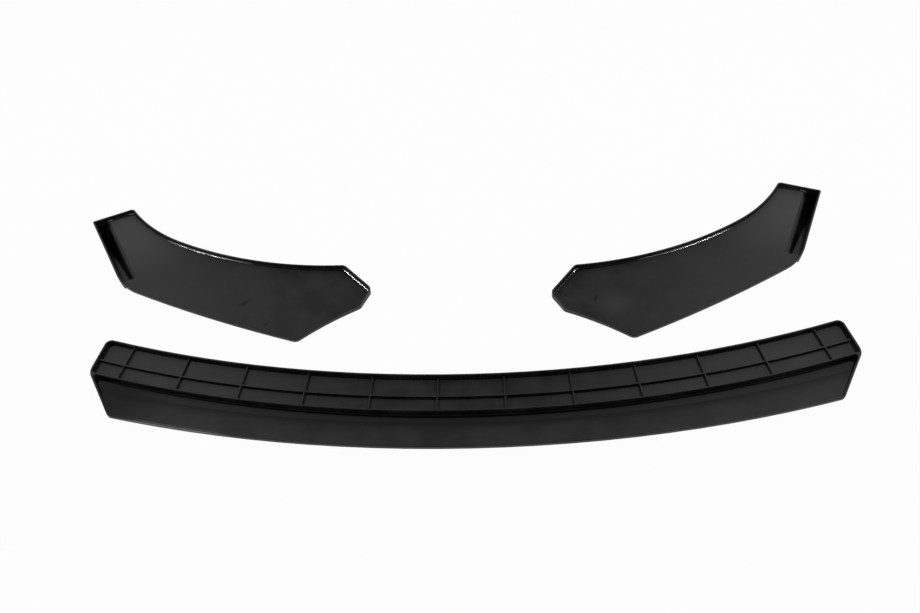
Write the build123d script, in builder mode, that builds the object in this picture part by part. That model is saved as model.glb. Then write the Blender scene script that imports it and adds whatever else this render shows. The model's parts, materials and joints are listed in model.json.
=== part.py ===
from build123d import *
import os
from math import asin, atan2, cos, degrees, radians, sin, sqrt, tan

os.makedirs("parts", exist_ok=True)

# Front splitter lip in three mouldings, laid out with the ribbed side up.
# Millimetres, +X to the right, the lip's front edge towards -Y, the ground at Z = 0.
# The origin lies on the ground, under the flat strip of the centre section.

# Shared wall sizes
WALL = 3.0  # floor of every tray
RIM = 3.0  # upright rim round every tray
FLOOR_FILLET = 1.4  # where the walls meet the floor of the nose and of the end sections
EDGE_ROUND = 0.9  # along the top of rims and ribs
RIB_ROUND = 3.0  # where the main rib runs into the rim at the tips

# Centre section
CENTRE_LENGTH = 1179.0  # tip to tip
CENTRE_HEIGHT = 14.0
RIB_RADIUS = 2000.0  # plan radius of the main rib, which runs from tip to tip
SEAT_DEPTH = 65.6  # main rib to rear edge
NOSE_DEPTH = 60.4  # main rib to front edge, at the middle
FRONT_RADIUS = 2160.0  # plan radius of the front edge
REAR_SPAN = 1170.0  # across the two rear corners
FRONT_SPAN = 1060.0  # across the two front corners
TIP_ROUND = 28.0
REAR_ROUND = 9.0
FRONT_ROUND = 12.0
SEAT_STEP = 3.2  # seat's rise over the band in front of the main rib
NOSE_LAND = 14.5  # flat strip in front of the main rib
NOSE_EDGE = 5.5  # thickness of the front edge
MAIN_RIB = 2.6
LOW_RIB = 2.2
LOW_RIB_BACK = 27.1  # low rib's place behind the main rib
LOW_RIB_HEIGHT = 4.4
CROSS_RIB = 2.0
CROSS_RIB_HEIGHT = 3.9
CROSS_RIB_PITCH = 100.0  # along the main rib
CROSS_RIB_COUNT = 12
CROSS_RIB_HUB = 5450.0  # from the main rib to where the cross ribs would meet

# End sections, in the plan of the right-hand one: x outward from the inner tip, y to the rear
TIP_REAR_X, TIP_REAR_Y = 49.7, 55.6  # rear corner of the inner end
TIP_FRONT_X, TIP_FRONT_Y = 17.9, -37.3  # blunt corner in front of the tip
TOE_X, TOE_Y = 117.4, -104.8  # inner end of the front edge
SHOULDER_X, SHOULDER_Y = 429.3, 25.7  # corner of the front edge and the outer edge, before rounding
HEEL_OUT_X, HEEL_OUT_Y = 526.3, 187.9  # outer corner of the outer end
HEEL_IN_X, HEEL_IN_Y = 458.4, 219.5  # inner corner of the outer end
BACK_X, BACK_Y = 352.5, 129.1  # where the rear edge starts to turn to the heel
TOE_HOLLOW = 3.4  # dip of the edge between the tip and the toe
FRONT_BULGE = 5.9  # bulge of the front edge over its chord
BACK_HOLLOW = 18.7  # dip of the rear edge under its chord
SHOULDER_ROUND = 105.0
CORNER_ROUND = 12.0
HEEL_ROUND = 8.0
HEEL_TIP_ROUND = 3.5
END_EDGE = 5.6  # thickness of the front edge
RIM_SLOPE = 2.2  # rise of the rim from the front edge to the rear, degrees
FIN_DEPTH = 36.0  # fin below the blade at the heel
FIN_FRONT_DEPTH = 11.0  # and at its front end
FIN_X, FIN_Y = 413.7, 58.5  # front end of the roll into the hollow fin
FIN_ANGLE = 59.0  # run of that roll
FIN_ROLL = 14.0  # its radius
FIN_DRAFT = 30.0  # lean of the fin's inner wall, degrees
FIN_NOSE = 10.5  # radius of the hollow's rounded front end

# Lay-out on the ground: inner tip of each end section, and its turn in degrees
LEFT_TIP_X, LEFT_TIP_Y, LEFT_TURN = -166.7, 265.4, 2.5
RIGHT_TIP_X, RIGHT_TIP_Y, RIGHT_TURN = 136.7, 244.3, 2.5


def heading(angle):
    return Vector(cos(radians(angle)), sin(radians(angle)))


def corner(sketch, at):
    return sketch.vertices().sort_by_distance(at)[0]


def twin(at):
    return (-at[0], at[1])


# Centre section: plan, the flat strip's middle at the origin
rib_y = NOSE_LAND / 2
hub_y = rib_y + RIB_RADIUS
rear_radius = RIB_RADIUS - SEAT_DEPTH
front_hub_y = rib_y - NOSE_DEPTH + FRONT_RADIUS
tip = (CENTRE_LENGTH / 2, hub_y - sqrt(RIB_RADIUS**2 - (CENTRE_LENGTH / 2) ** 2))
rear = (REAR_SPAN / 2, hub_y - sqrt(rear_radius**2 - (REAR_SPAN / 2) ** 2))
front = (FRONT_SPAN / 2, front_hub_y - sqrt(FRONT_RADIUS**2 - (FRONT_SPAN / 2) ** 2))

with BuildSketch() as centre_plan:
    with BuildLine():
        ThreePointArc(twin(rear), (0, hub_y - rear_radius), rear)
        Polyline(rear, tip, front)
        ThreePointArc(front, (0, front_hub_y - FRONT_RADIUS), twin(front))
        Polyline(twin(front), twin(tip), twin(rear))
    make_face()
    for at, rounding in ((tip, TIP_ROUND), (rear, REAR_ROUND), (front, FRONT_ROUND)):
        fillet([corner(centre_plan, at), corner(centre_plan, twin(at))], rounding)

with BuildSketch() as centre_inner_plan:
    add(centre_plan.sketch)
    offset(amount=-RIM)

with BuildSketch(Plane((0, hub_y, 0))) as low_rib_band:
    Circle(RIB_RADIUS - LOW_RIB_BACK + LOW_RIB / 2)
    Circle(RIB_RADIUS - LOW_RIB_BACK - LOW_RIB / 2, mode=Mode.SUBTRACT)

rib_base = Plane.XY.offset(SEAT_STEP + WALL / 2)
with BuildSketch(rib_base) as low_rib_plan:
    add(centre_plan.sketch)
    offset(amount=-RIM / 2)
    add(low_rib_band.sketch, mode=Mode.INTERSECT)

# Cross ribs: each from the middle of the main rib to the middle of the rear rim
with BuildSketch(rib_base) as cross_rib_plan:
    for number in range(CROSS_RIB_COUNT):
        turn = (number - (CROSS_RIB_COUNT - 1) / 2) * CROSS_RIB_PITCH / RIB_RADIUS
        foot_x, foot_y = RIB_RADIUS * sin(turn), hub_y - RIB_RADIUS * cos(turn)
        lean = atan2(foot_x, rib_y + CROSS_RIB_HUB - foot_y)
        past_hub = RIB_RADIUS * sin(turn - lean)
        cross_length = RIB_RADIUS * cos(turn - lean) - sqrt((rear_radius + RIM / 2) ** 2 - past_hub**2)
        with Locations(Location((foot_x, foot_y), degrees(lean))):
            Rectangle(CROSS_RIB, cross_length, align=(Align.CENTER, Align.MIN))

# Centre section: seat and nose are turned about the hubs of the main rib and of the front edge
half_turn = degrees(asin(CENTRE_LENGTH / rear_radius))
swing_start = heading(-90 - half_turn)
swing_way = (swing_start.Y, -swing_start.X, 0)
seat_plane = Plane((0, hub_y, 0), swing_start, swing_way)
nose_plane = Plane((0, front_hub_y, 0), swing_start, swing_way)
seat_hub = Axis((0, hub_y, 0), (0, 0, 1))
nose_hub = Axis((0, front_hub_y, 0), (0, 0, 1))
r_back = rear_radius - SEAT_DEPTH
r_far = RIB_RADIUS + NOSE_DEPTH + SEAT_DEPTH
r_behind = RIB_RADIUS - MAIN_RIB / 2
r_ahead = RIB_RADIUS + MAIN_RIB / 2
r_step = r_ahead - WALL
nose_slope = (CENTRE_HEIGHT - NOSE_EDGE) / (NOSE_DEPTH - NOSE_LAND)
wall_up = WALL * sqrt(1 + nose_slope**2)
top = 2 * CENTRE_HEIGHT
r_top = FRONT_RADIUS + (top - CENTRE_HEIGHT + NOSE_EDGE) / nose_slope
r_low = r_top - (top + CENTRE_HEIGHT) / nose_slope

with BuildPart() as centre_hollow:
    add(centre_inner_plan.sketch)
    extrude(amount=top)
    with BuildSketch(seat_plane):
        with BuildLine():
            seat_floor = SEAT_STEP + WALL
            Polyline((r_back, seat_floor), (r_behind, seat_floor), (r_behind, top), (r_back, top), close=True)
        make_face()
        with BuildLine():
            Polyline((r_ahead, WALL), (r_far, WALL), (r_far, top), (r_ahead, top), close=True)
        make_face()
    revolve(axis=seat_hub, revolution_arc=2 * half_turn, mode=Mode.INTERSECT)
    with BuildSketch(nose_plane):
        with BuildLine():
            nose_foot = wall_up - CENTRE_HEIGHT
            Polyline((r_low, nose_foot), (r_top, top + wall_up), (r_top, nose_foot), close=True)
        make_face()
    revolve(axis=nose_hub, revolution_arc=2 * half_turn, mode=Mode.SUBTRACT)
    hub = Vector(0, hub_y, top / 2)
    uprights = centre_hollow.edges().filter_by(Axis.Z)
    fillet([e for e in uprights if abs((e.center() - hub).length - RIB_RADIUS) < RIM], RIB_ROUND)
    # floor of the nose, rounded into the walls about it; the ribbed seat keeps plain corners
    floors = centre_hollow.faces().filter_by(lambda f: f.normal_at().Z < -0.5)
    seat = floors.filter_by(GeomType.PLANE).sort_by(Axis.Z)[-1]
    nose = [f for f in floors if f != seat]
    nose_edges = ShapeList(e for f in nose for e in f.edges())
    fillet([e for e in nose_edges if nose_edges.count(e) == 1], FLOOR_FILLET)

with BuildPart() as centre_section:
    add(centre_plan.sketch)
    extrude(amount=CENTRE_HEIGHT)
    with BuildSketch(seat_plane):
        with BuildLine():
            Polyline((r_back, -WALL), (r_back, SEAT_STEP), (r_step, SEAT_STEP), (r_step, -WALL), close=True)
        make_face()
    revolve(axis=seat_hub, revolution_arc=2 * half_turn, mode=Mode.SUBTRACT)
    with BuildSketch(nose_plane):
        with BuildLine():
            Polyline((r_low, -CENTRE_HEIGHT), (r_top, top), (r_top, -CENTRE_HEIGHT), close=True)
        make_face()
    revolve(axis=nose_hub, revolution_arc=2 * half_turn, mode=Mode.SUBTRACT)
    add(centre_hollow.part, mode=Mode.SUBTRACT)
    # rims and main rib, rounded along their tops
    fillet(centre_section.faces().sort_by(Axis.Z)[-1].edges(), EDGE_ROUND)
    # low rib from end to end, and the ribs across it
    add(low_rib_plan.sketch)
    extrude(amount=WALL / 2 + LOW_RIB_HEIGHT)
    add(cross_rib_plan.sketch)
    extrude(amount=WALL / 2 + CROSS_RIB_HEIGHT)
centre_section.part.label = "centre_section"
export_step(centre_section.part, "parts/centre_section.step")

# End sections: plan of the right-hand one
tip_rear = (TIP_REAR_X, TIP_REAR_Y)
tip_front = (TIP_FRONT_X, TIP_FRONT_Y)
toe = (TOE_X, TOE_Y)
shoulder = (SHOULDER_X, SHOULDER_Y)
heel_out = (HEEL_OUT_X, HEEL_OUT_Y)
heel_in = (HEEL_IN_X, HEEL_IN_Y)

with BuildSketch() as end_plan:
    with BuildLine():
        Polyline(tip_rear, (0, 0), tip_front)
        SagittaArc(tip_front, toe, TOE_HOLLOW)
        SagittaArc(toe, shoulder, -FRONT_BULGE)
        Polyline(shoulder, heel_out, heel_in)
        back = SagittaArc(tip_rear, (BACK_X, BACK_Y), -BACK_HOLLOW)
        TangentArc((BACK_X, BACK_Y), heel_in, tangent=back % 1)
    make_face()
    fillet([corner(end_plan, at) for at in (tip_rear, (0, 0), tip_front, toe)], CORNER_ROUND)
    for at, rounding in ((shoulder, SHOULDER_ROUND), (heel_in, HEEL_ROUND), (heel_out, HEEL_TIP_ROUND)):
        fillet(corner(end_plan, at), rounding)

with BuildSketch() as end_inner_plan:
    add(end_plan.sketch)
    offset(amount=-RIM)

# End sections: the blade lies flat, its rim rises from the front edge to the rear
blade_run = (Vector(*shoulder) - Vector(*toe)).normalized()
blade_plane = Plane(toe, (-blade_run.Y, blade_run.X, 0), blade_run)
reach = HEEL_OUT_X + HEEL_IN_Y
rim_rise = tan(radians(RIM_SLOPE)) * reach
deep = 2 * FIN_DEPTH

with BuildPart() as end_hollow:
    with BuildSketch(Plane.XY.offset(WALL)):
        add(end_inner_plan.sketch)
    extrude(amount=deep)
    fillet(end_hollow.faces().sort_by(Axis.Z)[0].edges(), FLOOR_FILLET)

# Hollow fin along the outer end: across its run, x goes outward and y up
fin_run = heading(FIN_ANGLE)
fin_out = Vector(fin_run.Y, -fin_run.X)
fin_start = Vector(FIN_X, FIN_Y)
fin_plan_plane = Plane(fin_start, fin_out, (0, 0, 1))
fin_section = Plane(fin_start, fin_out, -fin_run)
fin_side = Plane(fin_start, fin_run, fin_out)
fin_length = (Vector(*heel_out) - fin_start).dot(fin_run)
fin_slope = (FIN_DEPTH - FIN_FRONT_DEPTH) / fin_length
fin_lean = heading(FIN_DRAFT)

with BuildSketch(fin_plan_plane) as fin_mouth:
    with BuildLine():
        nose = JernArc((0, 0), (0, -1), FIN_NOSE, 90)
        Polyline(nose @ 1, (reach, -FIN_NOSE), (reach, reach), (0, reach), (0, 0))
    make_face()

with BuildPart() as fin_hollow:
    add(end_inner_plan.sketch)
    extrude(amount=deep, both=True)
    add(fin_mouth.sketch)
    extrude(amount=deep, both=True, mode=Mode.INTERSECT)
    with BuildSketch(fin_section):
        with BuildLine():
            roll = JernArc((0, WALL), (1, 0), FIN_ROLL, FIN_DRAFT - 90)
            foot = PolarLine(roll @ 1, deep, FIN_DRAFT - 90)
            Polyline(foot @ 1, (reach, (foot @ 1).Y), (reach, deep), (0, deep), (0, WALL))
        make_face()
    extrude(amount=reach, both=True, mode=Mode.INTERSECT)
    with BuildSketch(fin_side):
        with BuildLine():
            Polyline(
                (-reach, WALL - FIN_FRONT_DEPTH + fin_slope * reach),
                (reach, WALL - FIN_FRONT_DEPTH - fin_slope * reach),
                (reach, deep + reach),
                (-reach, deep + reach),
                close=True,
            )
        make_face()
    extrude(amount=reach, both=True, mode=Mode.INTERSECT)

with BuildSketch() as fin_plan:
    add(fin_mouth.sketch)
    offset(amount=WALL)

with BuildPart() as fin_form:
    with BuildSketch(Plane.XY.offset(WALL / 2)):
        add(end_plan.sketch)
    extrude(amount=-deep)
    add(fin_plan.sketch)
    extrude(amount=deep, both=True, mode=Mode.INTERSECT)
    with BuildSketch(fin_section):
        with BuildLine():
            roll = JernArc((0, 0), (1, 0), FIN_ROLL - WALL, FIN_DRAFT - 90)
            foot = PolarLine(roll @ 1, deep, FIN_DRAFT - 90)
            Polyline(foot @ 1, (reach, (foot @ 1).Y), (reach, deep), (0, deep), (0, 0))
        make_face()
    extrude(amount=reach, both=True, mode=Mode.INTERSECT)
    with BuildSketch(fin_side):
        with BuildLine():
            Polyline(
                (-reach, -FIN_FRONT_DEPTH + fin_slope * reach),
                (reach, -FIN_FRONT_DEPTH - fin_slope * reach),
                (reach, deep + reach),
                (-reach, deep + reach),
                close=True,
            )
        make_face()
    extrude(amount=reach, both=True, mode=Mode.INTERSECT)

with BuildPart() as end_form:
    add(end_plan.sketch)
    extrude(amount=deep)
    with BuildSketch(blade_plane):
        with BuildLine():
            rim_low, rim_high = (-reach, END_EDGE - rim_rise), (reach, END_EDGE + rim_rise)
            Polyline((-reach, -reach), (reach, -reach), rim_high, rim_low, close=True)
        make_face()
    extrude(amount=reach, both=True, mode=Mode.INTERSECT)
    add(fin_form.part)
    add(end_hollow.part, mode=Mode.SUBTRACT)
    add(fin_hollow.part, mode=Mode.SUBTRACT)
    # rim, rounded along its top
    upward = end_form.faces().filter_by(lambda f: f.normal_at().Z > 0.5).sort_by(Axis.Z)
    fillet(upward[-1].edges(), EDGE_ROUND)

# An end section at rest: on the corners of its inner end and on the heel of its fin
roll_end = FIN_ROLL - WALL
foot_out = roll_end * fin_lean.X + (FIN_DEPTH - roll_end + roll_end * fin_lean.Y) * fin_lean.Y / fin_lean.X
foot_line = fin_start + fin_out * foot_out
heel = Vector(*heel_in) - Vector(*heel_out)
foot_run = (Vector(*heel_out) - foot_line).cross(heel).Z / fin_run.cross(heel).Z
fin_foot = foot_line + fin_run * foot_run - Vector(0, 0, FIN_FRONT_DEPTH + fin_slope * foot_run)
tip_foot = Vector(*tip_front)
ground_up = (Vector(*toe) - tip_foot).cross(fin_foot - tip_foot).normalized()
ground = Plane((0, 0, ground_up.dot(tip_foot) / ground_up.Z), (1, 0, 0), ground_up)

with BuildPart(Plane(ground.location.inverse())) as end_at_rest:
    add(end_form.part)

with BuildPart() as end_twin:
    mirror(end_at_rest.part, about=Plane.YZ)

right_tip = Plane((RIGHT_TIP_X, RIGHT_TIP_Y, 0), heading(RIGHT_TURN))
with BuildPart(right_tip) as right_end_section:
    add(end_at_rest.part)
right_end_section.part.label = "right_end_section"
export_step(right_end_section.part, "parts/right_end_section.step")

left_tip = Plane((LEFT_TIP_X, LEFT_TIP_Y, 0), heading(LEFT_TURN))
with BuildPart(left_tip) as left_end_section:
    add(end_twin.part)
left_end_section.part.label = "left_end_section"
export_step(left_end_section.part, "parts/left_end_section.step")
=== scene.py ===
"""Front splitter lip in three moulded sections, dressed for a plain studio picture."""
import json
import logging
import math
from dataclasses import dataclass, field
from enum import Enum
from functools import reduce

import bpy
from mathutils import Matrix, Vector

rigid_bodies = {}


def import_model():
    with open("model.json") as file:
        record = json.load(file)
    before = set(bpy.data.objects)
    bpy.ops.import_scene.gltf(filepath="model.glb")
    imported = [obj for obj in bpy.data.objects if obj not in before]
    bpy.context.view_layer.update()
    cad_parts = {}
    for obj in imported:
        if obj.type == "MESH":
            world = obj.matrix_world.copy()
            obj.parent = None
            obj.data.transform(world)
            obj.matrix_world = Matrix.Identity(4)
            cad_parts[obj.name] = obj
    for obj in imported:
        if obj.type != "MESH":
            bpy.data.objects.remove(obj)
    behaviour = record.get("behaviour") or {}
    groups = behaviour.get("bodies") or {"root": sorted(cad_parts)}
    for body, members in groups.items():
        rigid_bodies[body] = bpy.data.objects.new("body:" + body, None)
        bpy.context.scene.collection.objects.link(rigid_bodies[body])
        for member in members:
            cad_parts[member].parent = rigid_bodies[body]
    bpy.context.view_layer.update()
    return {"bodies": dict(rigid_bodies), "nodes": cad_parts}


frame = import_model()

LOG = logging.getLogger("splitter_lip")

NOISE_MEAN = 0.5

# Where a Mix node keeps its sockets for numbers and for colours.
MIX_FACTOR = 0
MIX_NUMBERS = (2, 3)
MIX_NUMBER_RESULT = 0
MIX_COLOURS = (6, 7)
MIX_COLOUR_RESULT = 2

Socket = bpy.types.NodeSocket
Point = tuple[float, float, float]
Colour = tuple[float, float, float, float]
Range = tuple[float, float]


class MarkKind(Enum):
    """What a mark on the moulding is, or which painted light or painted shade it lays."""

    DARK_SCUFF = "dark_scuff"
    PALE_RUB = "pale_rub"
    PIN_RING = "pin_ring"
    # Painted light: a floor painted paler where more light falls on it.
    PAINTED_LIGHT_PATCH = "painted_light_patch"
    # Painted shade: a floor painted darker where shade falls on it.
    PAINTED_SHADE_PATCH = "painted_shade_patch"
    POLISHED_RADIUS = "polished_radius"


@dataclass(frozen=True)
class Mark:
    """One scuff, rub or moulding mark, or a patch of painted light or painted shade, an oval at a place
    on the section.

    Attributes:
        kind: What the mark is.
        place: Its middle, in metres.
        half_length: Half its length, in metres.
        half_width: Half its width, in metres.
        turn: Turn of its length from +X about Z, in degrees.
        strength: How strongly it shows, from 0 to 1.
        dip: Fall of its length from level, in degrees.
    """

    kind: MarkKind
    place: Point
    half_length: float
    half_width: float
    turn: float = 0.0
    strength: float = 1.0
    dip: float = 0.0


@dataclass(frozen=True)
class MarkShape:
    """How high a kind of mark reaches and how it fades.

    Attributes:
        half_height: Half the height that it spans, in metres.
        fade: Where it begins to fade and where it is gone, as shares of the way from its middle to its
            outline, counted from a ring's line where it is a ring.
    """

    half_height: float
    fade: Range


MARK_SHAPES: dict[MarkKind, MarkShape] = {
    MarkKind.DARK_SCUFF: MarkShape(0.012, (0.25, 1.0)),
    MarkKind.PALE_RUB: MarkShape(0.012, (0.25, 1.0)),
    MarkKind.PIN_RING: MarkShape(0.012, (0.04, 0.16)),
    MarkKind.PAINTED_LIGHT_PATCH: MarkShape(0.08, (0.1, 1.0)),
    MarkKind.PAINTED_SHADE_PATCH: MarkShape(0.08, (0.1, 1.0)),
    MarkKind.POLISHED_RADIUS: MarkShape(0.006, (0.7, 1.0)),
}


@dataclass(frozen=True)
class Stain:
    """What a mark does to the plastic where it shows.

    Attributes:
        grey: Linear grey that the colour tends to.
        dull: Roughness that it adds.
        floors_only: Whether it stays off radii and upright faces.
    """

    grey: float
    dull: float = 0.0
    floors_only: bool = False


@dataclass(frozen=True)
class Noise:
    """How coarse and how fine a noise texture is.

    Attributes:
        scale: Blotches per metre.
        detail: Octaves of finer noise.
    """

    scale: float
    detail: float


@dataclass(frozen=True)
class Rounding:
    """How a face's normal is rounded beside an edge.

    Attributes:
        radius: How far from the edge it is rounded, in metres.
        samples: Rays that find the edge.
    """

    radius: float
    samples: int


@dataclass
class NodeGraph:
    """A material's or world's node tree, with short ways to add to it.

    Attributes:
        tree: The node tree that is being filled.
    """

    tree: bpy.types.NodeTree

    @classmethod
    def empty(cls, owner: bpy.types.Material | bpy.types.World) -> "NodeGraph":
        """Starts an empty graph.

        Args:
            owner: The material or world that it belongs to.

        Returns:
            The graph.
        """
        owner.use_nodes = True
        owner.node_tree.nodes.clear()
        return cls(owner.node_tree)

    def add(self, kind: str, **settings: object) -> bpy.types.Node:
        """Adds one node.

        Args:
            kind: The node's type name.
            **settings: Properties set on the node.

        Returns:
            The new node.
        """
        node = self.tree.nodes.new(kind)
        for name, value in settings.items():
            setattr(node, name, value)
        return node

    def link(self, source: Socket, target: Socket) -> None:
        """Joins an output socket to an input socket."""
        self.tree.links.new(source, target)

    def feed(self, value: Socket | float, target: Socket) -> None:
        """Links a socket to an input, or sets the input to a number.

        Args:
            value: A socket or a number.
            target: The input socket.
        """
        if isinstance(value, Socket):
            self.link(value, target)
        else:
            target.default_value = value

    def noise(self, vector: Socket, noise: Noise) -> Socket:
        """Adds a noise texture.

        Args:
            vector: Coordinates that it reads.
            noise: How coarse and how fine it is.

        Returns:
            Its grey output.
        """
        node = self.add("ShaderNodeTexNoise")
        node.inputs["Scale"].default_value = noise.scale
        node.inputs["Detail"].default_value = noise.detail
        self.link(vector, node.inputs["Vector"])
        return node.outputs["Fac"]

    def rounded(self, rounding: Rounding) -> Socket:
        """Adds a node that rounds the normal beside edges.

        Args:
            rounding: How far it is rounded.

        Returns:
            The rounded normal.
        """
        node = self.add("ShaderNodeBevel", samples=rounding.samples)
        node.inputs["Radius"].default_value = rounding.radius
        return node.outputs["Normal"]

    def math(self, operation: str, first: Socket | float, second: Socket | float = 0.0) -> Socket:
        """Adds a math node.

        Args:
            operation: The node's operation.
            first: First operand, a socket or a number.
            second: Second operand, a socket or a number.

        Returns:
            The result.
        """
        node = self.add("ShaderNodeMath", operation=operation)
        self.feed(first, node.inputs[0])
        self.feed(second, node.inputs[1])
        return node.outputs[0]

    def plus(self, total: Socket, value: Socket, factor: float) -> Socket:
        """Adds a value times a factor to a total."""
        return self.math("ADD", total, self.math("MULTIPLY", value, factor))

    def most(self, values: list[Socket]) -> Socket:
        """Gives the largest of several values."""
        return reduce(lambda one, other: self.math("MAXIMUM", one, other), values)

    def blend(self, share: Socket, first: Socket | float, second: Socket | float) -> Socket:
        """Blends two numbers.

        Args:
            share: Share of the second one, from 0 to 1.
            first: First number, or the socket that gives it.
            second: Second number, or the socket that gives it.

        Returns:
            The blended number.
        """
        node = self.add("ShaderNodeMix", data_type="FLOAT")
        for value, place in zip((share, first, second), (MIX_FACTOR, *MIX_NUMBERS)):
            self.feed(value, node.inputs[place])
        return node.outputs[MIX_NUMBER_RESULT]

    def span(self, value: Socket, reads: Range, gives: Range) -> Socket:
        """Maps a value smoothly from one range to another.

        Args:
            value: The value.
            reads: Range that is read.
            gives: Range that is given.

        Returns:
            The mapped value.
        """
        node = self.add("ShaderNodeMapRange", interpolation_type="SMOOTHSTEP")
        self.link(value, node.inputs["Value"])
        for name, number in zip(("From Min", "From Max", "To Min", "To Max"), (*reads, *gives)):
            node.inputs[name].default_value = number
        return node.outputs["Result"]

    def placed(self, vector: Socket, place: Point, turn: float, sizes: Point, dip: float = 0.0) -> Socket:
        """Measures coordinates from a place, along turned axes, in units of the given sizes.

        Args:
            vector: Coordinates that are measured.
            place: The new origin, in metres.
            turn: Turn of the axes about Z, in degrees.
            sizes: Length of one unit along each axis, in metres.
            dip: Fall of the first axis from level, in degrees.

        Returns:
            The measured coordinates.
        """
        node = self.add("ShaderNodeMapping", vector_type="TEXTURE")
        node.inputs["Location"].default_value = place
        node.inputs["Rotation"].default_value = (0.0, math.radians(dip), math.radians(turn))
        node.inputs["Scale"].default_value = sizes
        self.link(vector, node.inputs["Vector"])
        return node.outputs["Vector"]

    def length(self, vector: Socket) -> Socket:
        """Measures a vector.

        Args:
            vector: The vector.

        Returns:
            Its length.
        """
        node = self.add("ShaderNodeVectorMath", operation="LENGTH")
        self.link(vector, node.inputs[0])
        return node.outputs["Value"]

    def along(self, vector: Socket, axis: str) -> Socket:
        """Measures a vector along one axis.

        Args:
            vector: The vector.
            axis: X, Y or Z.

        Returns:
            That coordinate of it.
        """
        node = self.add("ShaderNodeSeparateXYZ")
        self.link(vector, node.inputs["Vector"])
        return node.outputs[axis]

    def agreement(self, first: Socket, second: Socket) -> Socket:
        """Tells how far two normals point the same way.

        Args:
            first: One normal.
            second: The other.

        Returns:
            Their dot product.
        """
        node = self.add("ShaderNodeVectorMath", operation="DOT_PRODUCT")
        self.link(first, node.inputs[0])
        self.link(second, node.inputs[1])
        return node.outputs["Value"]


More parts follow.
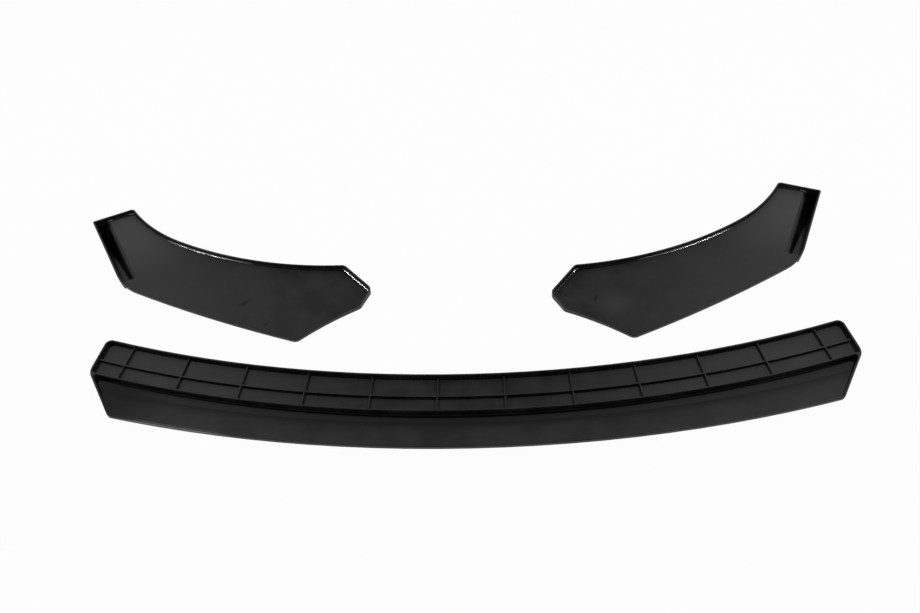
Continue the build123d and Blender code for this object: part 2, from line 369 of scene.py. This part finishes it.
@dataclass(frozen=True)
class SatinBlackPlastic:
    """Black plastic as it leaves a satin mould: fine grain, faint flow, a little handling, with patches
    of painted light and painted shade and a painted shadow along the centre's main rib.

    Attributes:
        dark_tone_and_shade: Linear grey of the clean plastic's darker patches, and of the painted shade
            patch and the painted shadow of the main rib.
        lifted: Linear grey of its paler patches.
        scuffed: Linear grey of a dark scuff.
        rubbed: Linear grey of a rubbed place or a handled edge.
        painted_light_grey: Linear grey of a painted light patch, a floor painted paler where more light
            falls on it.
        cool: Blue of the plastic, as a multiple of its grey.
        ior: Index of refraction of the plastic.
        gloss_low: Roughness of a floor's glossiest patches.
        gloss_high: Roughness of a floor's dullest patches.
        radius_gloss: Roughness of the radii between faces, which the mould leaves smoother.
        wall_gloss: Roughness of upright faces.
        low_gloss: Roughness of a floor's lowest strip.
        low_fade: Rise over which that strip fades into the floor, in metres.
        patch_dull: Roughness that a painted shade patch adds.
        scuff_dull: Roughness that a dark scuff adds.
        rub_dull: Roughness that a pale rub adds.
        ragged: Noise that frays the outline of a scuff or a rub.
        ragged_reach: How strongly it frays.
        ring_line: Radius of an ejector ring's line, in half lengths of the mark.
        ring_height: Height of that line, in metres.
        polish_gloss: Roughness of the skin on a polished radius.
        polish_ior: Index of refraction of that skin.
        polish_round: How that skin is rounded beyond the radius.
        mottle: Noise of the soft patches.
        streaks: Noise of the mould's flow.
        streak_stretch: How many times as long as wide a streak is.
        streak_share: Share of the streaks in the cloud that they and the patches make.
        tone_reads: Range of the cloud from the darker to the paler patches.
        gloss_reads: Range of the cloud from the glossiest to the dullest patches.
        handled: How far a handled edge shows.
        handled_reads: Agreement of the rounded and the true normal, from an edge to a plain face.
        wear: Noise that breaks up the wear along an edge.
        wear_reads: Range of that noise from no wear to the most.
        wear_most: How strongly the most wear shows.
        floor_margin: How far past a floor's lean a face is all radius, and how far it is still all floor,
            in degrees.
        upright_reads: Rise of the normal from an upright face to a radius.
        wave: Noise of the face's soft waves.
        wave_height: Height of those waves, in metres.
        grain: Noise of the fine grain.
        grain_height: Height of the grain, in metres.
        soft_edge: How a sharp edge is softened.
    """

    dark_tone_and_shade: float = 0.0008
    lifted: float = 0.013
    scuffed: float = 0.001
    rubbed: float = 0.024
    painted_light_grey: float = 0.052
    cool: float = 1.03
    ior: float = 1.48
    gloss_low: float = 0.49
    gloss_high: float = 0.58
    radius_gloss: float = 0.32
    wall_gloss: float = 0.52
    low_gloss: float = 0.6
    low_fade: float = 0.0027
    patch_dull: float = 0.22
    scuff_dull: float = 0.3
    rub_dull: float = 0.2
    ragged: Noise = Noise(420.0, 3.0)
    ragged_reach: float = 1.6
    ring_line: float = 0.85
    ring_height: float = 0.0002
    polish_gloss: float = 0.2
    polish_ior: float = 4.0
    polish_round: Rounding = Rounding(0.0026, 8)
    mottle: Noise = Noise(24.0, 5.0)
    streaks: Noise = Noise(150.0, 3.0)
    streak_stretch: float = 9.0
    streak_share: float = 0.15
    tone_reads: Range = (0.42, 0.60)
    gloss_reads: Range = (0.34, 0.68)
    handled: Rounding = Rounding(0.0012, 4)
    handled_reads: Range = (0.72, 0.97)
    wear: Noise = Noise(70.0, 4.0)
    wear_reads: Range = (0.46, 0.70)
    wear_most: float = 0.5
    floor_margin: Range = (9.0, 3.5)
    upright_reads: Range = (0.06, 0.25)
    wave: Noise = Noise(26.0, 2.0)
    wave_height: float = 0.0003
    grain: Noise = Noise(1900.0, 2.0)
    grain_height: float = 0.000012
    soft_edge: Rounding = Rounding(0.0006, 6)

    def grey(self, level: float) -> Colour:
        """Gives a faintly cool grey of a linear level."""
        return (level, level, level * self.cool, 1.0)

    def stain(self, kind: MarkKind) -> Stain:
        """Tells what a mark does to the plastic.

        Args:
            kind: A scuff, a rub, a painted light patch or a painted shade patch.

        Returns:
            The stain of that kind.
        """
        return {
            MarkKind.DARK_SCUFF: Stain(self.scuffed, self.scuff_dull),
            MarkKind.PALE_RUB: Stain(self.rubbed, self.rub_dull),
            # Painted light and painted shade patches, laid only on the floors.
            MarkKind.PAINTED_LIGHT_PATCH: Stain(self.painted_light_grey, floors_only=True),
            MarkKind.PAINTED_SHADE_PATCH: Stain(self.dark_tone_and_shade, self.patch_dull, floors_only=True),
        }[kind]

    def mark_mask(self, graph: NodeGraph, coords: Socket, mark: Mark) -> Socket:
        """Draws where one mark shows.

        Args:
            graph: The material's graph.
            coords: Object coordinates.
            mark: The mark.

        Returns:
            A mask from 0 to the mark's strength.
        """
        shape = MARK_SHAPES[mark.kind]
        sizes = (mark.half_length, mark.half_width, shape.half_height)
        reach = graph.length(graph.placed(coords, mark.place, mark.turn, sizes, mark.dip))
        if mark.kind is MarkKind.PIN_RING:
            reach = graph.math("ABSOLUTE", graph.math("SUBTRACT", reach, self.ring_line))
        elif mark.kind in (MarkKind.DARK_SCUFF, MarkKind.PALE_RUB):
            frayed = graph.math("SUBTRACT", graph.noise(coords, self.ragged), NOISE_MEAN)
            reach = graph.plus(reach, frayed, self.ragged_reach)
        return graph.span(reach, shape.fade, (mark.strength, 0.0))

    def blend_grey(self, graph: NodeGraph, mask: Socket, below: Socket, level: float) -> Socket:
        """Lays a grey over a colour where a mask shows.

        Args:
            graph: The material's graph.
            mask: Where the grey shows.
            below: The colour below.
            level: The grey's linear level.

        Returns:
            The blended colour.
        """
        first, second = MIX_COLOURS
        mix = graph.add("ShaderNodeMix", data_type="RGBA")
        graph.link(mask, mix.inputs[MIX_FACTOR])
        graph.link(below, mix.inputs[first])
        mix.inputs[second].default_value = self.grey(level)
        return mix.outputs[MIX_COLOUR_RESULT]

    def cloud(self, graph: NodeGraph, coords: Socket, flow_turn: float) -> Socket:
        """Draws the plastic's soft patches, with faint streaks along the mould's flow.

        Args:
            graph: The material's graph.
            coords: Object coordinates.
            flow_turn: Direction of the flow from +X about Z, in degrees.

        Returns:
            The cloud.
        """
        patches = graph.math("MULTIPLY", graph.noise(coords, self.mottle), 1.0 - self.streak_share)
        drawn_out = graph.placed(coords, (0.0, 0.0, 0.0), flow_turn, (self.streak_stretch, 1.0, 1.0))
        return graph.plus(patches, graph.noise(drawn_out, self.streaks), self.streak_share)

    def tone(self, graph: NodeGraph, cloud: Socket) -> Socket:
        """Colours the clean plastic.

        Args:
            graph: The material's graph.
            cloud: The plastic's soft patches.

        Returns:
            The colour.
        """
        ramp = graph.add("ShaderNodeValToRGB")
        stops = zip(ramp.color_ramp.elements, self.tone_reads, (self.dark_tone_and_shade, self.lifted))
        for stop, position, level in stops:
            stop.position = position
            stop.color = self.grey(level)
        graph.link(cloud, ramp.inputs["Fac"])
        return ramp.outputs["Color"]

    def handled_edges(self, graph: NodeGraph, coords: Socket, normal: Socket) -> Socket:
        """Draws the broken line of wear along the moulding's edges.

        Args:
            graph: The material's graph.
            coords: Object coordinates.
            normal: The face's normal.

        Returns:
            A mask from 0 to the most wear.
        """
        flatness = graph.agreement(graph.rounded(self.handled), normal)
        near = graph.span(flatness, self.handled_reads, (1.0, 0.0))
        broken = graph.span(graph.noise(coords, self.wear), self.wear_reads, (0.0, self.wear_most))
        return graph.math("MULTIPLY", near, broken)

    def face_masks(self, graph: NodeGraph, normal: Socket, floor_lean: float) -> tuple[Socket, Socket]:
        """Tells the floors and the upright faces from the radii between them, by how far a face leans.

        Args:
            graph: The material's graph.
            normal: The face's normal.
            floor_lean: The most that a floor leans from level, in degrees.

        Returns:
            A mask of the floors, and one of the upright faces.
        """
        upward = graph.along(normal, "Z")
        radius, floor = (math.cos(math.radians(floor_lean + more)) for more in self.floor_margin)
        level = graph.span(upward, (radius, floor), (0.0, 1.0))
        upright = graph.span(graph.math("ABSOLUTE", upward), self.upright_reads, (1.0, 0.0))
        return level, upright

    def roughness(self, graph: NodeGraph, cloud: Socket, level: Socket, upright: Socket) -> Socket:
        """Gives every kind of face its roughness.

        Args:
            graph: The material's graph.
            cloud: The plastic's soft patches.
            level: Mask of the floors.
            upright: Mask of the upright faces.

        Returns:
            The roughness.
        """
        floors = graph.span(cloud, self.gloss_reads, (self.gloss_low, self.gloss_high))
        return graph.blend(upright, graph.blend(level, self.radius_gloss, floors), self.wall_gloss)

    def painted_rib_shadow(self, graph: NodeGraph, coords: Socket, level: Socket, height: float) -> Socket:
        """Draws the strip of floor that lies lowest, which fades out as the floor rises; it is where the
        main rib's shadow is painted on the floor.

        Args:
            graph: The material's graph.
            coords: Object coordinates.
            level: Mask of the floors.
            height: Height of the strip, in metres.

        Returns:
            A mask from 0 to 1.
        """
        low = graph.span(graph.along(coords, "Z"), (height, height + self.low_fade), (1.0, 0.0))
        return graph.math("MULTIPLY", level, low)

    def polish(self, graph: NodeGraph, shader: bpy.types.Node, shine: Socket, floor_lean: float) -> None:
        """Lays a polished skin on the radii.

        Args:
            graph: The material's graph.
            shader: The plastic's shader.
            shine: Mask of the polished stretches.
            floor_lean: The most that a floor leans from level, in degrees.
        """
        normal = graph.rounded(self.polish_round)
        radii = graph.math("SUBTRACT", 1.0, graph.most(list(self.face_masks(graph, normal, floor_lean))))
        graph.link(graph.math("MULTIPLY", shine, radii), shader.inputs["Coat Weight"])
        graph.link(normal, shader.inputs["Coat Normal"])
        shader.inputs["Coat Roughness"].default_value = self.polish_gloss
        shader.inputs["Coat IOR"].default_value = self.polish_ior

    def relief(self, graph: NodeGraph, coords: Socket, flats: Socket, rings: list[Socket]) -> Socket:
        """Raises the waves, the grain and the ejector rings, and softens the edges.

        Args:
            graph: The material's graph.
            coords: Object coordinates.
            flats: Mask of the faces that carry the relief.
            rings: Masks of the ejector rings.

        Returns:
            The normal.
        """
        waves = graph.math("MULTIPLY", graph.noise(coords, self.wave), self.wave_height)
        height = graph.plus(waves, graph.noise(coords, self.grain), self.grain_height)
        if rings:
            height = graph.plus(height, graph.most(rings), self.ring_height)
        bump = graph.add("ShaderNodeBump")
        # The height is in metres already.
        bump.inputs["Distance"].default_value = 1.0
        graph.link(flats, bump.inputs["Strength"])
        graph.link(graph.rounded(self.soft_edge), bump.inputs["Normal"])
        graph.link(height, bump.inputs["Height"])
        return bump.outputs["Normal"]

    def material(
        self, name: str, marks: list[Mark], flow_turn: float, floor_lean: float, low_floor: float
    ) -> bpy.types.Material:
        """Makes the plastic for one section.

        Args:
            name: The material's name.
            marks: The marks that this section carries.
            flow_turn: Direction of the mould's flow from +X about Z, in degrees.
            floor_lean: The most that the section's floors lean from level, in degrees.
            low_floor: Height of the section's lowest strip of floor, which is painted darker as the main
                rib's shadow, in metres.

        Returns:
            The finished material.
        """
        material = bpy.data.materials.new(name)
        graph = NodeGraph.empty(material)
        output = graph.add("ShaderNodeOutputMaterial")
        shader = graph.add("ShaderNodeBsdfPrincipled")
        shader.inputs["IOR"].default_value = self.ior
        graph.link(shader.outputs["BSDF"], output.inputs["Surface"])
        coords = graph.add("ShaderNodeTexCoord").outputs["Object"]
        normal = graph.add("ShaderNodeNewGeometry").outputs["Normal"]

        cloud = self.cloud(graph, coords, flow_turn)
        level, upright = self.face_masks(graph, normal, floor_lean)
        low = self.painted_rib_shadow(graph, coords, level, low_floor)
        rough = graph.blend(low, self.roughness(graph, cloud, level, upright), self.low_gloss)
        # Painted shadow: the lowest strip of floor, in front of the main rib, is blended towards the
        # darkest grey.
        colour = self.blend_grey(graph, low, self.tone(graph, cloud), self.dark_tone_and_shade)
        colour = self.blend_grey(graph, self.handled_edges(graph, coords, normal), colour, self.rubbed)

        rings: list[Socket] = []
        polished: list[Socket] = []
        for mark in marks:
            mask = self.mark_mask(graph, coords, mark)
            if mark.kind is MarkKind.PIN_RING:
                rings.append(mask)
            elif mark.kind is MarkKind.POLISHED_RADIUS:
                polished.append(mask)
            else:
                # Painted light and painted shade patches are laid here as well as the scuffs and rubs.
                stain = self.stain(mark.kind)
                if stain.floors_only:
                    mask = graph.math("MULTIPLY", mask, level)
                colour = self.blend_grey(graph, mask, colour, stain.grey)
                if stain.dull:
                    rough = graph.plus(rough, mask, stain.dull)
        graph.link(colour, shader.inputs["Base Color"])
        graph.link(rough, shader.inputs["Roughness"])

        if polished:
            self.polish(graph, shader, graph.most(polished), floor_lean)
        relief = self.relief(graph, coords, graph.math("MAXIMUM", level, upright), rings)
        graph.link(relief, shader.inputs["Normal"])
        return material


@dataclass(kw_only=True)
class MouldedSection:
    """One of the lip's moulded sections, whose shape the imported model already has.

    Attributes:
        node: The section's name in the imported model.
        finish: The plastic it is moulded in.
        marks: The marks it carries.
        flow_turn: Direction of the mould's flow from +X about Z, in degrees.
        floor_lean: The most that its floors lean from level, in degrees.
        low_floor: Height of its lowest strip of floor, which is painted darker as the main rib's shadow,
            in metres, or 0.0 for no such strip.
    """

    node: str
    finish: SatinBlackPlastic
    marks: list[Mark] = field(default_factory=list)
    flow_turn: float = 0.0
    floor_lean: float = 4.5
    low_floor: float = 0.0

    def dress(self) -> bpy.types.Object:
        """Gives the section its plastic.

        Returns:
            The dressed section.
        """
        section = frame["nodes"][self.node]
        plastic = self.finish.material(
            f"satin_black_{self.node}", self.marks, self.flow_turn, self.floor_lean, self.low_floor
        )
        for slot in section.material_slots:
            slot.material = plastic
        return section


@dataclass(kw_only=True)
class CentreSection(MouldedSection):
    """The long ribbed centre of the lip."""

    node: str = "centre_section"
    floor_lean: float = 10.6
    # Height of the strip that is painted darker as the main rib's shadow.
    low_floor: float = 0.0032
    marks: list[Mark] = field(
        default_factory=lambda: [
            Mark(MarkKind.PIN_RING, (-0.5549, 0.0993, 0.0062), 0.0085, 0.0085),
            Mark(MarkKind.PIN_RING, (0.4317, 0.0694, 0.0062), 0.0085, 0.0085),
            Mark(MarkKind.DARK_SCUFF, (0.2318, -0.0385, 0.0125), 0.003, 0.002),
            Mark(MarkKind.PALE_RUB, (0.5296, 0.0358, 0.0074), 0.022, 0.0018, 12.0, 0.35),
            # Painted shade: a broad darker patch painted on the left of the nose.
            Mark(MarkKind.PAINTED_SHADE_PATCH, (-0.535, 0.033, 0.0075), 0.11, 0.062, -15.0),
            Mark(MarkKind.POLISHED_RADIUS, (-0.425, -0.0115, 0.0105), 0.105, 0.012, -11.4, 0.6),
        ]
    )


@dataclass(kw_only=True)
class LeftEndSection(MouldedSection):
    """The end that turns back on the left, seen from the front."""

    node: str = "left_end_section"
    flow_turn: float = 120.0
    marks: list[Mark] = field(
        default_factory=lambda: [
            Mark(MarkKind.DARK_SCUFF, (-0.3805, 0.2354, 0.0125), 0.011, 0.005, 37.6, 0.9),
            Mark(MarkKind.DARK_SCUFF, (-0.3346, 0.1917, 0.0077), 0.006, 0.004, 20.0, 0.7),
            Mark(MarkKind.PALE_RUB, (-0.4612, 0.3326, 0.0222), 0.016, 0.005, -20.0, 0.3),
            # Painted light: the heel's floor is painted paler where more light falls on it.
            Mark(MarkKind.PAINTED_LIGHT_PATCH, (-0.640, 0.432, 0.036), 0.20, 0.14, -35.0),
            Mark(MarkKind.POLISHED_RADIUS, (-0.463, 0.350, 0.0245), 0.115, 0.014, -20.5, dip=3.7),
            Mark(MarkKind.POLISHED_RADIUS, (-0.196, 0.291, 0.009), 0.042, 0.012, -46.5, dip=4.3),
            Mark(MarkKind.POLISHED_RADIUS, (-0.6730, 0.4375, 0.0384), 0.007, 0.007),
            Mark(MarkKind.POLISHED_RADIUS, (-0.6367, 0.4587, 0.0380), 0.007, 0.007),
        ]
    )


@dataclass(kw_only=True)
class RightEndSection(MouldedSection):
    """The end that turns back on the right, seen from the front."""

    node: str = "right_end_section"
    flow_turn: float = 65.0
    marks: list[Mark] = field(
        default_factory=lambda: [
            Mark(MarkKind.DARK_SCUFF, (0.2108, 0.2313, 0.0068), 0.010, 0.004, 68.6, 0.9),
            Mark(MarkKind.DARK_SCUFF, (0.1618, 0.2411, 0.0054), 0.003, 0.003),
            Mark(MarkKind.DARK_SCUFF, (0.3170, 0.3123, 0.0162), 0.003, 0.003),
            Mark(MarkKind.DARK_SCUFF, (0.4586, 0.2336, 0.0147), 0.003, 0.003),
            Mark(MarkKind.DARK_SCUFF, (0.2544, 0.2864, 0.0121), 0.003, 0.003),
            # Painted light: paler patches painted on the floor, the larger one at the heel.
            Mark(MarkKind.PAINTED_LIGHT_PATCH, (0.2434, 0.2174, 0.0071), 0.045, 0.034, 30.0, 0.4),
            Mark(MarkKind.PAINTED_LIGHT_PATCH, (0.600, 0.432, 0.036), 0.20, 0.14, 35.0),
            Mark(MarkKind.POLISHED_RADIUS, (0.380, 0.340, 0.0215), 0.105, 0.014, 21.0, dip=-3.5),
            Mark(MarkKind.POLISHED_RADIUS, (0.6254, 0.4614, 0.0381), 0.007, 0.007),
            Mark(MarkKind.POLISHED_RADIUS, (0.1849, 0.2969, 0.0098), 0.007, 0.007),
        ]
    )


@dataclass
class StudioFloor:
    """The white sheet that the sections lie on.

    Attributes:
        size: Length of a side, in metres.
        drop: How far it lies under the sections, in metres.
        white: Linear grey of the sheet.
        clear: Share of plain white in what the camera, and glossy or clear faces, see of the sheet.
    """

    size: float = 9.0
    drop: float = 0.0002
    white: float = 0.88
    clear: float = 0.97

    def build(self) -> bpy.types.Object:
        """Lays the sheet.

        Returns:
            The sheet.
        """
        bpy.ops.object.select_all(action="DESELECT")
        bpy.ops.mesh.primitive_plane_add(size=self.size, location=(0.0, 0.0, -self.drop))
        floor = bpy.context.active_object
        floor.name = "studio_floor"
        floor.data.materials.append(self.material())
        return floor

    def material(self) -> bpy.types.Material:
        """Makes the sheet's white, which keeps a faint shadow.

        Returns:
            The sheet's material.
        """
        material = bpy.data.materials.new("studio_white")
        graph = NodeGraph.empty(material)
        output = graph.add("ShaderNodeOutputMaterial")
        sheet = graph.add("ShaderNodeBsdfDiffuse")
        sheet.inputs["Color"].default_value = (self.white, self.white, self.white, 1.0)
        plain = graph.add("ShaderNodeEmission")
        plain.inputs["Strength"].default_value = 1.0
        path = graph.add("ShaderNodeLightPath").outputs
        seen = graph.most([path["Is Camera Ray"], path["Is Glossy Ray"], path["Is Transmission Ray"]])
        mix = graph.add("ShaderNodeMixShader")
        graph.link(graph.math("MULTIPLY", seen, self.clear), mix.inputs["Fac"])
        graph.link(sheet.outputs["BSDF"], mix.inputs[1])
        graph.link(plain.outputs["Emission"], mix.inputs[2])
        graph.link(mix.outputs["Shader"], output.inputs["Surface"])
        return material


@dataclass
class SoftBox:
    """A square lamp behind white cloth.

    Attributes:
        name: The lamp's name.
        place: Its place, in metres.
        power: Its power, in watts.
        aim: The point it faces, in metres.
        side: Length of a side, in metres.
    """

    name: str
    place: Point
    power: float
    aim: Point = (0.0, 0.2, 0.0)
    side: float = 0.25

    def build(self) -> bpy.types.Object:
        """Hangs the lamp.

        Returns:
            The lamp.
        """
        lamp = bpy.data.lights.new(self.name, "AREA")
        lamp.shape = "SQUARE"
        lamp.size = self.side
        lamp.energy = self.power
        hung = bpy.data.objects.new(self.name, lamp)
        bpy.context.scene.collection.objects.link(hung)
        hung.location = self.place
        direction = Vector(self.aim) - Vector(self.place)
        hung.rotation_euler = direction.to_track_quat("-Z", "Y").to_euler()
        return hung


@dataclass
class StudioRoom:
    """The pale room round the sheet: white at the horizon, softer above it, dim overhead and in front.

    Attributes:
        horizon: Brightness of the low wall round the sheet.
        upper: Brightness of the room behind the lip, above that wall.
        overhead: Brightness straight overhead.
        front: Share of the upper and overhead brightness that the side before the lip has.
        wall_reads: Rise of the line of sight from the low wall to the room above it.
        rise_reads: Rise of the line of sight from the upper room to overhead.
        depth_reads: Depth of the line of sight from the front of the room to its back.
    """

    horizon: float = 1.0
    upper: float = 0.54
    overhead: float = 0.045
    front: float = 0.35
    wall_reads: Range = (0.17, 0.3)
    rise_reads: Range = (0.35, 0.95)
    depth_reads: Range = (-0.7, 0.3)

    def build(self) -> bpy.types.World:
        """Lights the room.

        Returns:
            The world.
        """
        world = bpy.data.worlds.new("studio_room")
        bpy.context.scene.world = world
        graph = NodeGraph.empty(world)
        output = graph.add("ShaderNodeOutputWorld")
        room = graph.add("ShaderNodeBackground")
        sight = graph.add("ShaderNodeTexCoord").outputs["Generated"]
        rise = graph.along(sight, "Z")
        above = graph.span(rise, self.rise_reads, (self.upper, self.overhead))
        share = graph.span(graph.along(sight, "Y"), self.depth_reads, (self.front, 1.0))
        low_wall = graph.span(rise, self.wall_reads, (self.horizon, 0.0))
        bright = graph.math("MAXIMUM", graph.math("MULTIPLY", above, share), low_wall)
        graph.link(bright, room.inputs["Strength"])
        room.inputs["Color"].default_value = (1.0, 1.0, 1.0, 1.0)
        graph.link(room.outputs["Background"], output.inputs["Surface"])
        return world


@dataclass
class Viewpoint:
    """The camera at the photograph's viewing angle.

    Attributes:
        focal_pixels: Focal length in pixels of the picture.
        picture_width: Width of the picture, in pixels.
        elevation: Height of the line of sight above the horizon, in degrees.
        azimuth: Turn of the line of sight about Z, in degrees.
        roll: Turn of the picture about the line of sight, in degrees.
        distance: From the camera to the point it looks at, in metres.
        target: The point it looks at, in metres.
        sensor: Width of the sensor, in millimetres.
    """

    focal_pixels: float = 658.86
    picture_width: int = 920
    elevation: float = 45.999
    azimuth: float = 1.937
    roll: float = -3.026
    distance: float = 1.084747
    target: Point = (-0.015481, 0.212947, 0.014)
    sensor: float = 36.0

    def build(self) -> bpy.types.Object:
        """Stands the camera up.

        Returns:
            The camera.
        """
        lens = bpy.data.cameras.new("studio_camera")
        lens.sensor_fit = "HORIZONTAL"
        lens.sensor_width = self.sensor
        lens.lens = self.focal_pixels / self.picture_width * self.sensor
        camera = bpy.data.objects.new("studio_camera", lens)
        bpy.context.scene.collection.objects.link(camera)
        high, round_, roll = (math.radians(a) for a in (self.elevation, self.azimuth, self.roll))
        back = Vector(
            (math.sin(round_) * math.cos(high), -math.cos(round_) * math.cos(high), math.sin(high))
        )
        level = Vector((math.cos(round_), math.sin(round_), 0.0))
        upright = back.cross(level)
        right = level * math.cos(roll) + upright * math.sin(roll)
        up = upright * math.cos(roll) - level * math.sin(roll)
        place = Vector(self.target) + back * self.distance
        camera.matrix_world = Matrix.Translation(place) @ Matrix((right, up, back)).transposed().to_4x4()
        bpy.context.scene.camera = camera
        return camera


def clear_start_scene() -> None:
    """Removes the objects that Blender starts with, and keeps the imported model."""
    kept = set(frame["nodes"].values()) | set(frame["bodies"].values())
    for thing in [o for o in bpy.data.objects if o not in kept]:
        bpy.data.objects.remove(thing)


def main() -> None:
    """Dresses the three sections and sets up the studio round them."""
    logging.basicConfig(level=logging.INFO, format="%(name)s: %(message)s")
    clear_start_scene()
    bpy.context.scene.view_settings.view_transform = "Standard"

    plastic = SatinBlackPlastic()
    for section in (CentreSection, LeftEndSection, RightEndSection):
        LOG.info("section %s", section(finish=plastic).dress().name)
    LOG.info("stage %s", StudioFloor().build().name)
    LOG.info("room %s", StudioRoom().build().name)
    for lamp in (
        SoftBox("softbox_left", (-1.57, 1.07, 2.33), power=13.5),
        SoftBox("softbox_right", (1.42, 1.07, 2.33), power=14.0),
    ):
        LOG.info("lamp %s", lamp.build().name)
    LOG.info("camera %s", Viewpoint().build().name)


if __name__ == "__main__":
    main()
